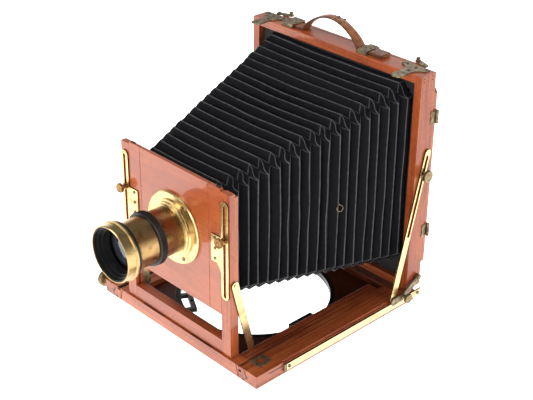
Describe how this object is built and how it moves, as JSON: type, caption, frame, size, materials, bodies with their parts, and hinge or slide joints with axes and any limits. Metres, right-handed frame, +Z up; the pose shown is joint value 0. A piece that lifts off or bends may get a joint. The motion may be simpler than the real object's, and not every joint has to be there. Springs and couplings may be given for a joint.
{
  "type": "view camera",
  "caption": "Folding mahogany and brass field view camera with square black bellows, brass lens, rising front, tilting rear body and hinged focusing screen.",
  "frame": {"origin": "on the underside of the base, on the centre plane, below the front face of the rear body", "axes": "+Z up; -Y is the way the lens looks; +X is the side of the focusing screen's hinges"},
  "size_m": [0.3296, 0.4095, 0.3589],
  "materials": {
    "mahogany": "french polished, glossy",
    "black_wood": "matt black stain",
    "bright_brass": "lacquered, polished",
    "aged_brass": "tarnished, satin",
    "blackened_brass": "black lacquer, satin",
    "bellows_cloth": "black leathercloth, satin",
    "brown_leather": "worn, satin",
    "lens_glass": "polished",
    "ground_glass": "ground, matt"
  },
  "bodies": {
    "base": {"floor_board": "mahogany", "side_rail_left": "mahogany", "side_rail_right": "mahogany", "guide_strip_left": "mahogany", "guide_strip_right": "mahogany", "rear_cross_rail": "mahogany", "slide_bars": "bright_brass", "base_screws": "aged_brass", "catch_strikers": "aged_brass", "bellows": "bellows_cloth"},
    "turntable": {"turntable_ring": "blackened_brass", "leg_sockets": "blackened_brass"},
    "focus_pinion": {"pinion": "bright_brass", "focus_knob": "bright_brass"},
    "focus_frame": {"focus_rail_left": "mahogany", "focus_rail_right": "mahogany", "front_bar": "mahogany", "rack": "bright_brass", "upright_left": "mahogany", "upright_right": "mahogany", "standard_foot": "mahogany"},
    "lens_board": {"lens_panel": "mahogany", "rise_plate_left": "bright_brass", "rise_plate_right": "bright_brass", "panel_screws": "aged_brass", "lens_flange": "bright_brass", "rear_barrel": "bright_brass", "front_barrel": "bright_brass", "lens_hood": "bright_brass", "lens_baffle": "blackened_brass", "front_element": "lens_glass", "rear_element": "lens_glass", "iris_blades": "blackened_brass"},
    "iris": {"iris_ring": "blackened_brass"},
    "rise_clamp_left": {"rise_knob_left": "bright_brass"},
    "rise_clamp_right": {"rise_knob_right": "bright_brass"},
    "stay_l": {"stay_left": "bright_brass"},
    "stay_r": {"stay_right": "bright_brass"},
    "carriage": {"carriages": "aged_brass"},
    "strut_l": {"strut_left": "bright_brass"},
    "strut_r": {"strut_right": "bright_brass"},
    "strut_clamp_left": {"strut_knob_left": "aged_brass"},
    "strut_clamp_right": {"strut_knob_right": "aged_brass"},
    "rail_clamp_left": {"rail_knob_left": "bright_brass"},
    "rail_clamp_right": {"rail_knob_right": "bright_brass"},
    "rear_body": {"body_top_board": "mahogany", "body_bottom_board": "mahogany", "body_left_board": "mahogany", "body_right_board": "mahogany", "bellows_frame": "black_wood", "corner_plates": "aged_brass", "handle_strap": "brown_leather", "handle_loops": "aged_brass", "reversing_back": "mahogany", "hinge_leaves": "aged_brass"},
    "catch_l": {"back_catch_left": "aged_brass"},
    "catch_r": {"back_catch_right": "aged_brass"},
    "screen": {"screen_frame": "mahogany", "ground_glass": "ground_glass", "hinge_straps": "aged_brass"}
  },
  "joints": [
    {"name": "turntable_turn", "type": "hinge", "parent": "base", "child": "turntable", "pos_m": [0, -0.135, 0], "axis": [0, 0, 1], "continuous": true},
    {"name": "focus_slide", "type": "slide", "parent": "base", "child": "focus_frame", "axis": [0, -1, 0], "range_m": [0, 0.15], "deforming": ["bellows"]},
    {"name": "pinion_turn", "type": "hinge", "parent": "base", "child": "focus_pinion", "pos_m": [0, -0.266, 0.0126], "axis": [1, 0, 0], "range_deg": [0, 2700]},
    {"name": "front_rise", "type": "slide", "parent": "focus_frame", "child": "lens_board", "axis": [0, 0, 1], "range_m": [-0.036, 0.072]},
    {"name": "iris_turn", "type": "hinge", "parent": "lens_board", "child": "iris", "pos_m": [0, -0.313, 0.162], "axis": [0, -1, 0], "range_deg": [0, 90]},
    {"name": "rise_clamp_left_turn", "type": "hinge", "parent": "focus_frame", "child": "rise_clamp_left", "pos_m": [-0.0935, -0.2707, 0.183], "axis": [0, -1, 0], "range_deg": [0, 360]},
    {"name": "rise_clamp_right_turn", "type": "hinge", "parent": "focus_frame", "child": "rise_clamp_right", "pos_m": [0.0935, -0.2707, 0.183], "axis": [0, -1, 0], "range_deg": [0, 360]},
    {"name": "stay_left_swing", "type": "hinge", "parent": "focus_frame", "child": "stay_l", "pos_m": [-0.102, -0.264, 0.121], "axis": [1, 0, 0], "range_deg": [0, 70]},
    {"name": "stay_right_swing", "type": "hinge", "parent": "focus_frame", "child": "stay_r", "pos_m": [0.102, -0.264, 0.121], "axis": [1, 0, 0], "range_deg": [0, 70]},
    {"name": "carriage_slide", "type": "slide", "parent": "base", "child": "carriage", "axis": [0, -1, 0], "range_m": [0, 0.04]},
    {"name": "rear_tilt", "type": "hinge", "parent": "carriage", "child": "rear_body", "pos_m": [0, 0.019, 0.036], "axis": [1, 0, 0], "range_deg": [-8, 8]},
    {"name": "strut_left_swing", "type": "hinge", "parent": "carriage", "child": "strut_l", "pos_m": [-0.1515, -0.029, 0.02], "axis": [1, 0, 0], "range_deg": [-8, 8]},
    {"name": "strut_right_swing", "type": "hinge", "parent": "carriage", "child": "strut_r", "pos_m": [0.1515, -0.029, 0.02], "axis": [1, 0, 0], "range_deg": [-8, 8]},
    {"name": "strut_clamp_left_turn", "type": "hinge", "parent": "rear_body", "child": "strut_clamp_left", "pos_m": [-0.155, 0.014, 0.192], "axis": [1, 0, 0], "range_deg": [0, 360]},
    {"name": "rail_clamp_left_turn", "type": "hinge", "parent": "carriage", "child": "rail_clamp_left", "pos_m": [-0.158, -0.01, 0.0195], "axis": [1, 0, 0], "range_deg": [0, 360]},
    {"name": "strut_clamp_right_turn", "type": "hinge", "parent": "rear_body", "child": "strut_clamp_right", "pos_m": [0.155, 0.014, 0.192], "axis": [1, 0, 0], "range_deg": [0, 360]},
    {"name": "rail_clamp_right_turn", "type": "hinge", "parent": "carriage", "child": "rail_clamp_right", "pos_m": [0.158, -0.01, 0.0195], "axis": [1, 0, 0], "range_deg": [0, 360]},
    {"name": "screen_swing", "type": "hinge", "parent": "rear_body", "child": "screen", "pos_m": [0.1524, 0.0327, 0.178], "axis": [0, 0, -1], "range_deg": [0, 95]},
    {"name": "catch_left_turn", "type": "hinge", "parent": "rear_body", "child": "catch_l", "pos_m": [-0.13, 0.03, 0.329], "axis": [0, 0, 1], "range_deg": [0, 75]},
    {"name": "catch_right_turn", "type": "hinge", "parent": "rear_body", "child": "catch_r", "pos_m": [0.13, 0.03, 0.329], "axis": [0, 0, -1], "range_deg": [0, 75]}
  ],
  "couplings": [
    {"joint": "pinion_turn", "follows": "focus_slide", "rad_per_m": 312.5},
    {"joint": "strut_left_swing", "follows": "rear_tilt", "ratio": 0.8472},
    {"joint": "strut_right_swing", "follows": "rear_tilt", "ratio": 0.8472}
  ]
}
